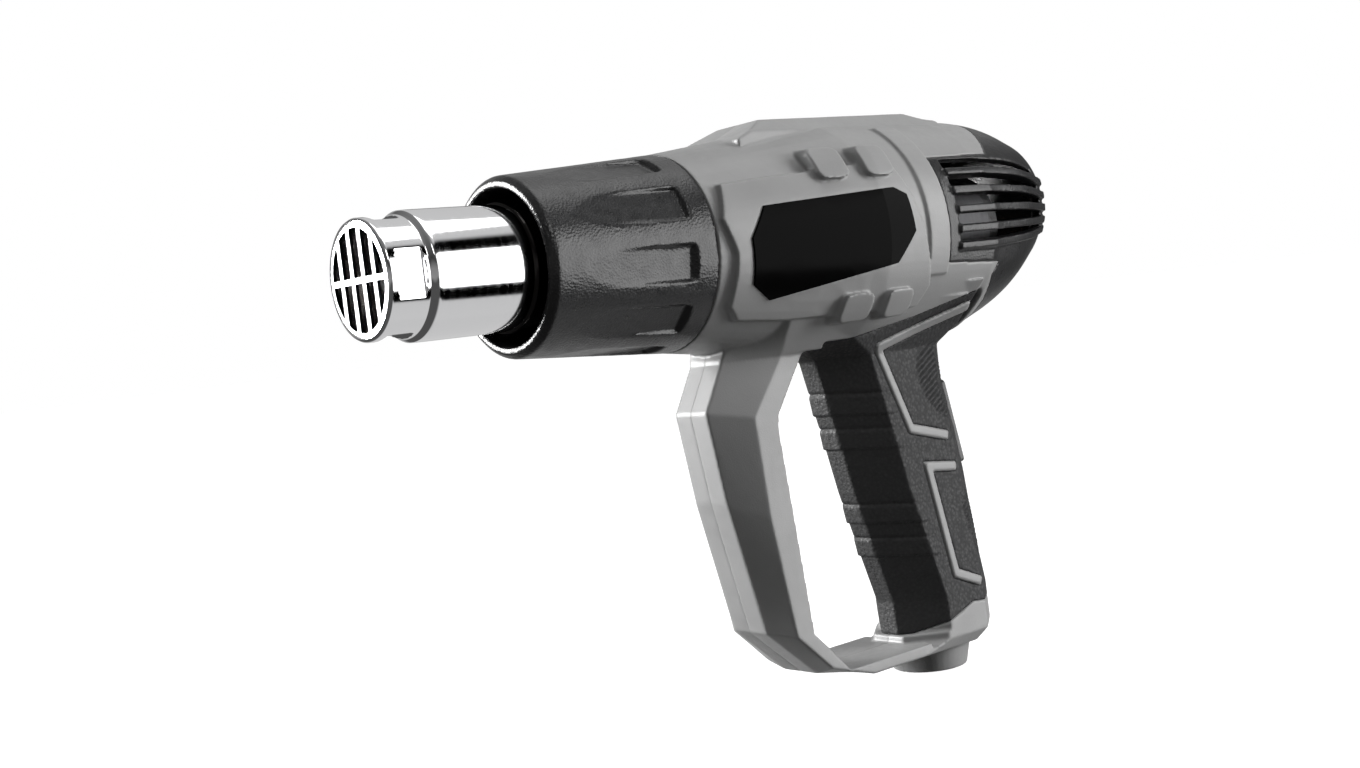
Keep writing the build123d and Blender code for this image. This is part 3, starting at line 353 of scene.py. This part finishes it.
def plain_stuff(name, colour, roughness, scale):
    """Mica, board, ferrite and other dull stuff, with cloudy colour and a fine bump."""
    material, tree, shader = finish(name, colour, roughness)
    cloud = grain(tree, "ShaderNodeTexNoise", scale, Detail=5)
    dark, light = tuple(0.8 * c for c in colour), tuple(min(1.0, 1.2 * c) for c in colour)
    tree.links.new(spread(tree, cloud, dark, light), shader.inputs["Base Color"])
    bumped(tree, shader, cloud, 0.0001, 0.3)
    return material


finishes = {
    "bright_steel": bright_steel(),
    "grey_plastic": grey_moulding(),
    "black_plastic": black_moulding(),
    "gloss_black": gloss_plate(),
    "soft_grip": soft_rubber(),
    # plain_steel is much darker than bare steel so the motor seen through the vent slots reads dim: the
    # steel's own colour plus painted shade.
    "plain_steel": plain_metal("plain_steel", (0.14, 0.14, 0.145), 0.5),
    "bronze": plain_metal("bronze", (0.6, 0.4, 0.22), 0.4),
    "heating_wire": plain_metal("heating_wire", (0.32, 0.28, 0.26), 0.5),
    "armature_steel": plain_metal("armature_steel", (0.45, 0.3, 0.2), 0.45),
    "mica": plain_stuff("mica", (0.05, 0.04, 0.03), 0.5, 300),
    "fan_plastic": plain_stuff("fan_plastic", (0.05, 0.05, 0.055), 0.45, 500),
    "magnet": plain_stuff("magnet", (0.06, 0.06, 0.065), 0.6, 700),
    "switch_plastic": plain_stuff("switch_plastic", (0.02, 0.02, 0.021), 0.35, 900),
    "board": plain_stuff("board", (0.04, 0.15, 0.07), 0.4, 400),
    "board_parts": plain_stuff("board_parts", (0.1, 0.1, 0.18), 0.4, 200),
}
for row in frame["record"]["subparts"]:
    node = nodes[row["node"]]
    node.data.materials.clear()
    node.data.materials.append(finishes[row["material_slot"]])
slot_of = {row["node"]: row["material_slot"] for row in frame["record"]["subparts"]}
body_of = {n: b for b, members in frame["record"]["behaviour"]["bodies"].items() for n in members}
print(len(finishes), "finishes")

# %% [markdown]
# ## Soft edges
# A moulded shell has no sharp edge anywhere: every corner is rounded in the tool, and so are the
# hollows between two forms. Bevels on edges that booleans left behind often fail. A voxel remesh
# followed by smoothing always works, rounds ridges and hollows alike, and leaves an even mesh
# that small raised features can then be pushed out of. Where two halves meet, both are rounded
# as one piece and cut apart again afterwards, or the joint would open into a wide groove.


# %% rounding helpers
def evaluated(piece):
    """Applies the modifiers of a piece to its mesh."""
    bpy.context.view_layer.update()
    final = bpy.data.meshes.new_from_object(piece.evaluated_get(bpy.context.evaluated_depsgraph_get()))
    piece.modifiers.clear()
    piece.data = final


def together(names):
    """The meshes of some CAD nodes as one mesh."""
    both = bmesh.new()
    for name in names:
        both.from_mesh(nodes[name].data)
    if len(names) == 1:  # the seams between CAD faces close; two halves keep their touching walls
        bmesh.ops.remove_doubles(both, verts=both.verts, dist=0.01 * MM)
    mesh = bpy.data.meshes.new(names[0])
    both.to_mesh(mesh)
    both.free()
    return mesh


def moulded(title, names, voxel, rounds):
    """A soft-edged piece made from one CAD node or from two halves."""
    piece = bpy.data.objects.new(title, together(names))
    bpy.context.scene.collection.objects.link(piece)
    remesh = piece.modifiers.new("voxels", "REMESH")
    remesh.mode = "VOXEL"
    remesh.voxel_size = voxel
    relax = piece.modifiers.new("relax", "SMOOTH")
    relax.factor = 0.5
    relax.iterations = rounds
    evaluated(piece)
    print(title, len(piece.data.vertices), "points")
    return piece


def points(piece):
    """Places and normals of a mesh's points."""
    mesh = piece.data
    place = np.empty(len(mesh.vertices) * 3)
    mesh.vertices.foreach_get("co", place)
    normal = np.empty(len(mesh.vertices) * 3)
    mesh.vertex_normals.foreach_get("vector", normal)
    return place.reshape(-1, 3), normal.reshape(-1, 3)


def lift(piece, height):
    """Moves each point along its normal by its own height."""
    place, normal = points(piece)
    piece.data.vertices.foreach_set("co", (place + normal * height[:, None]).ravel())
    piece.data.update()


def step(value, low, high):
    """0 below low and 1 above high, with a smooth change between."""
    t = np.clip((value - low) / (high - low), 0, 1)
    return t * t * (3 - 2 * t)


def thinned(piece, faces):
    """Fewer faces where the surface is flat, down to about a number of triangles."""
    now = sum(len(p.vertices) - 2 for p in piece.data.polygons)
    if now > faces:
        piece.modifiers.new("thin", "DECIMATE").ratio = faces / now
        evaluated(piece)


def hand_in(piece, node):
    """Gives a reshaped piece the finish, the body and the place of its CAD node."""
    piece.data.materials.clear()
    piece.data.materials.append(finishes[slot_of[node]])
    piece.data.polygons.foreach_set("use_smooth", [True] * len(piece.data.polygons))
    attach(piece, body_of[node])
    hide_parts(node)
    print(piece.name, len(piece.data.polygons), "faces")


def cut_apart(piece, left, right):
    """Cuts a piece at Y = 0 and hands in its two halves."""
    for node, side in ((left, -1), (right, 1)):
        half = bpy.data.objects.new(node + "_moulded", piece.data.copy())
        bpy.context.scene.collection.objects.link(half)
        bpy.ops.mesh.primitive_cube_add(size=1, location=(0.1, side * 0.25, 0))
        block = bpy.context.object
        block.scale = (0.5, 0.5, 0.5)
        knife = half.modifiers.new("cut", "BOOLEAN")
        knife.operation = "INTERSECT"
        knife.solver = "MANIFOLD"
        knife.object = block
        evaluated(half)
        bpy.data.objects.remove(block)
        hand_in(half, node)
    bpy.data.objects.remove(piece)


# %% [markdown]
# ## The housing
# Both halves of the grey shell are rounded together. The two bracket-shaped ribs that show
# through the grip skin then rise half a millimetre, by moving each point near their middle lines
# along its normal, and a hair-fine groove marks the parting line.


# %% housing
def from_line(place, route):
    """Distance of each point from a broken line in the side view."""
    near = np.full(len(place), np.inf)
    flat = place[:, (0, 2)]
    for start, end in zip(route, route[1:]):
        start, end = np.array(start) * MM, np.array(end) * MM
        way = end - start
        share = np.clip((flat - start) @ way / (way @ way), 0, 1)
        near = np.minimum(near, np.linalg.norm(flat - start - share[:, None] * way, axis=1))
    return near


under = -36.0
foot = under - 93.0
upper_bracket = [(185, under + 10.3), (152, under + 1), (163, under - 25.8), (179, under - 30)]
lower_bracket = [(181, under - 40.2), (168.6, under - 38.6), (176, foot + 19), (187, foot + 14.4)]
shell = moulded("housing", ("housing_left", "housing_right"), 0.45 * MM, 5)
place, normal = points(shell)
near = np.minimum(from_line(place, upper_bracket), from_line(place, lower_bracket))
outward = np.sign(place[:, 1]) * normal[:, 1] > 0.35
rib_rise, rib_edge, rib_crown = 0.55 * MM, 1.9 * MM, 0.8 * MM
groove_depth, groove_edge, groove_floor = 0.1 * MM, 0.45 * MM, 0.1 * MM
on_flank = np.abs(place[:, 1]) > 12 * MM
ribs = rib_rise * step(-near, -rib_edge, -rib_crown) * outward * on_flank
groove = groove_depth * step(-np.abs(place[:, 1]), -groove_edge, -groove_floor)
lift(shell, ribs - groove)
thinned(shell, 360000)
cut_apart(shell, "housing_left", "housing_right")

# %% [markdown]
# ## Rear cap and nose collar
# Both are black nylon mouldings in one piece. The cap keeps its ribs as crisp as the voxels
# allow, and the collar's flutes end in a short steep wall.

# %% rear cap and nose collar
cap = moulded("rear_cap_moulded", ("rear_cap",), 0.45 * MM, 4)
thinned(cap, 199000)
hand_in(cap, "rear_cap")
collar = moulded("nose_collar_moulded", ("nose_collar",), 0.5 * MM, 5)
thinned(collar, 199000)
hand_in(collar, "nose_collar")

# %% [markdown]
# ## The grip skin
# Soft rubber is moulded over the handle. Four low scales cross the front for the fingers: each
# starts in a notch, swells downwards and ends in a small step, and fades out along the flank.
# Behind the brackets are patches of slanted ridges. Both are functions of place, so numpy works
# out one height for each point.

# %% scales and ridges
grip_share = np.array([0.0, 0.14, 0.31, 0.47, 0.70, 0.87, 1.0])
grip_front = np.array([137, 140, 144, 147.5, 154, 159, 159.5]) * MM
scales = [(-48.0, -54.5), (-59.3, -65.5), (-84.0, -89.9), (-95.2, -101.0)]


def scale_height(place):
    """Height of the finger scales at each point."""
    share = (under * MM - place[:, 2]) / (93 * MM)
    back = place[:, 0] - np.interp(share, grip_share, grip_front)
    fade = step(-back, -19 * MM, -9 * MM)
    drop = place[:, 2] + 0.10 * np.maximum(back, 0)
    total = np.zeros(len(place))
    for high, low in scales:
        down = (high * MM - drop) / ((high - low) * MM)
        swell = np.where((down > 0) & (down < 1), 0.35 + 0.65 * down, 0)
        notch = np.exp(-((down + 0.04) / 0.09) ** 2)
        total += 0.75 * MM * swell * step(-down, -1.05, -0.93) - 0.4 * MM * notch
    return total * fade


def ridge_height(place, centre, size, pitch, slope):
    """Height of a leaf-shaped patch of slanted ridges in the side view."""
    x, z = place[:, 0] - centre[0] * MM, place[:, 2] - centre[1] * MM
    lean = 0.33
    across, down = (x + lean * z) / (size[0] * MM), z / (size[1] * MM)
    inside = step(1 - across ** 2 - down ** 2, 0.0, 0.25)
    wave = np.cos((z - slope * x) / (pitch * MM) * 2 * math.pi)
    return 0.42 * MM * wave * inside


skin = moulded("grip_skin", ("overmould_left", "overmould_right"), 0.42 * MM, 4)
place, normal = points(skin)
ridges = ridge_height(place, (178.5, -48.5), (10, 13), 1.9, 0.62)
ridges += ridge_height(place, (189.5, -95.5), (6, 12), 1.9, 0.62)
flank = np.abs(normal[:, 1]) > 0.35
lift(skin, scale_height(place) + ridges * flank)
thinned(skin, 360000)
cut_apart(skin, "overmould_left", "overmould_right")

# %% [markdown]
# ## The outlet tube
# The tube is drawn from sheet steel, and four flats are pressed into its neck, inside and out
# alike. Polished steel shows every uneven face, so the tube is not remeshed. Its profile is
# turned again as a clean lathe surface, with close rings along the neck, and every point behind
# a flat is pulled in to it.

# %% tube profile
neck_end, neck_r, tube_r, sheet = -13.0, 15.7, 17.0, 0.8
flange_x, rear_x, flange_r = 84.8, 86.0, 22.5
along_neck = np.arange(neck_end + 1.1, 0.01, 0.2)


def outer_radius(x):
    """Outside radius of the tube, from the neck over its soft shoulder to the long seat."""
    return neck_r + (tube_r - neck_r) * step(x, -1.6, 0.1)


bead = [(28.6, 0.0), (28.9, 0.5), (29.4, 0.7), (29.9, 0.5), (30.2, 0.0)]
outline = [(neck_end, neck_r - 1.6), (neck_end, neck_r - 0.8)]
outline += [(neck_end + 0.25, neck_r - 0.3), (neck_end + 0.8, neck_r)]
outline += [(x, float(outer_radius(x))) for x in along_neck]
outline += [(x, tube_r) for x in np.linspace(1, 27, 27)] + [(x, tube_r + lift_by) for x, lift_by in bead]
outline += [(flange_x, tube_r), (flange_x, flange_r), (rear_x, flange_r)]
outline += [(rear_x, tube_r - sheet), (1, tube_r - sheet)]
outline += [(x, float(outer_radius(x)) - sheet) for x in along_neck[::-1]] + [(neck_end + 2.2, neck_r - 1.6)]
print(len(outline), "points in the tube's outline")


# %% tube with pressed flats
def pressed(x, radius, turn):
    """Radius of a point once the four flats are pressed into the neck."""
    off = (turn + math.pi / 4) % (math.pi / 2) - math.pi / 4
    depth = 1.3 * step(-abs(x + 6.4), -4.4, -3.5)
    flat = (neck_r - depth) / math.cos(off)
    return radius - max(0.0, min(depth * 1.02, neck_r - flat))


turns = 256
tube = bmesh.new()
rings = []
for x, radius in outline:
    ring = []
    for k in range(turns):
        turn = 2 * math.pi * k / turns
        r = pressed(x, radius, turn) * MM
        ring.append(tube.verts.new((x * MM, r * math.cos(turn), r * math.sin(turn))))
    rings.append(ring)
for ring, following in zip(rings, rings[1:] + rings[:1]):
    for k in range(turns):
        tube.faces.new((ring[k], ring[(k + 1) % turns], following[(k + 1) % turns], following[k]))
bmesh.ops.recalc_face_normals(tube, faces=tube.faces)
tube_mesh = bpy.data.meshes.new("outlet_tube")
tube.to_mesh(tube_mesh)
tube.free()
outlet = bpy.data.objects.new("outlet_tube", tube_mesh)
bpy.context.scene.collection.objects.link(outlet)
hand_in(outlet, "nozzle_tube")
tube_mesh.set_sharp_from_angle(angle=math.radians(35))

# %% [markdown]
# ## The grille
# The pierced disc in the mouth of the tube is the same steel, but less polished. A colour ramp along X turns
# everything behind its front face near black, so only the front face stays bright.

# %% grille finish
grille_steel, tree, shader = finish("satin_steel", (0.55, 0.55, 0.56), 0.34, 1.0)
# The colour turns near black just behind the front face, on the sides of the bars.
behind_face = along_barrel(tree, neck_end + 0.03, neck_end + 0.25)
dark_behind_face = spread(tree, behind_face, (0.55, 0.55, 0.56), (0.02, 0.02, 0.02), 0.05, 0.95)
tree.links.new(dark_behind_face, shader.inputs["Base Color"])
rub = grain(tree, "ShaderNodeTexNoise", 700, Detail=4)
tree.links.new(spread(tree, rub, 0.28, 0.42), shader.inputs["Roughness"])
nodes["nozzle_grille"].data.materials[0] = grille_steel
print("grille:", nodes["nozzle_grille"].data.materials[0].name)

# %% [markdown]
# ## The floor
# One large pale sheet lies just under the gun. It glows for the lens, so it shows as white as the
# room behind it and no shadow can be seen on it. Mirrors look through it to the dark strips of
# the room, and all other rays meet a dim grey, or the floor would light the gun from below.

# %% floor
floor_gap = 0.5 * MM
bpy.ops.mesh.primitive_plane_add(size=30, location=(middle.x, middle.y, cad_box[0][2] - floor_gap))
floor = bpy.context.object
floor.name = "floor"
paper, tree, shader = finish("paper", (0.30, 0.30, 0.30), 0.9)
fibres = grain(tree, "ShaderNodeTexNoise", 300, Detail=3)
bumped(tree, shader, fibres, 0.0001, 0.2)
shader.inputs["Emission Color"].default_value = (1, 1, 1, 1)
shader.inputs["Emission Strength"].default_value = 0.98
ray = tree.nodes.new("ShaderNodeLightPath")
dim = tree.nodes.new("ShaderNodeBsdfDiffuse")
dim.inputs["Color"].default_value = (0.1, 0.1, 0.1, 1)
clear = tree.nodes.new("ShaderNodeBsdfTransparent")
unseen = mixed(tree, ray.outputs["Is Glossy Ray"], dim, clear)
seen = mixed(tree, ray.outputs["Is Camera Ray"], unseen, shader)
tree.links.new(seen.outputs[0], tree.nodes["Material Output"].inputs["Surface"])
floor.data.materials.append(paper)
print("floor at", round(floor.location.z, 4), "m")
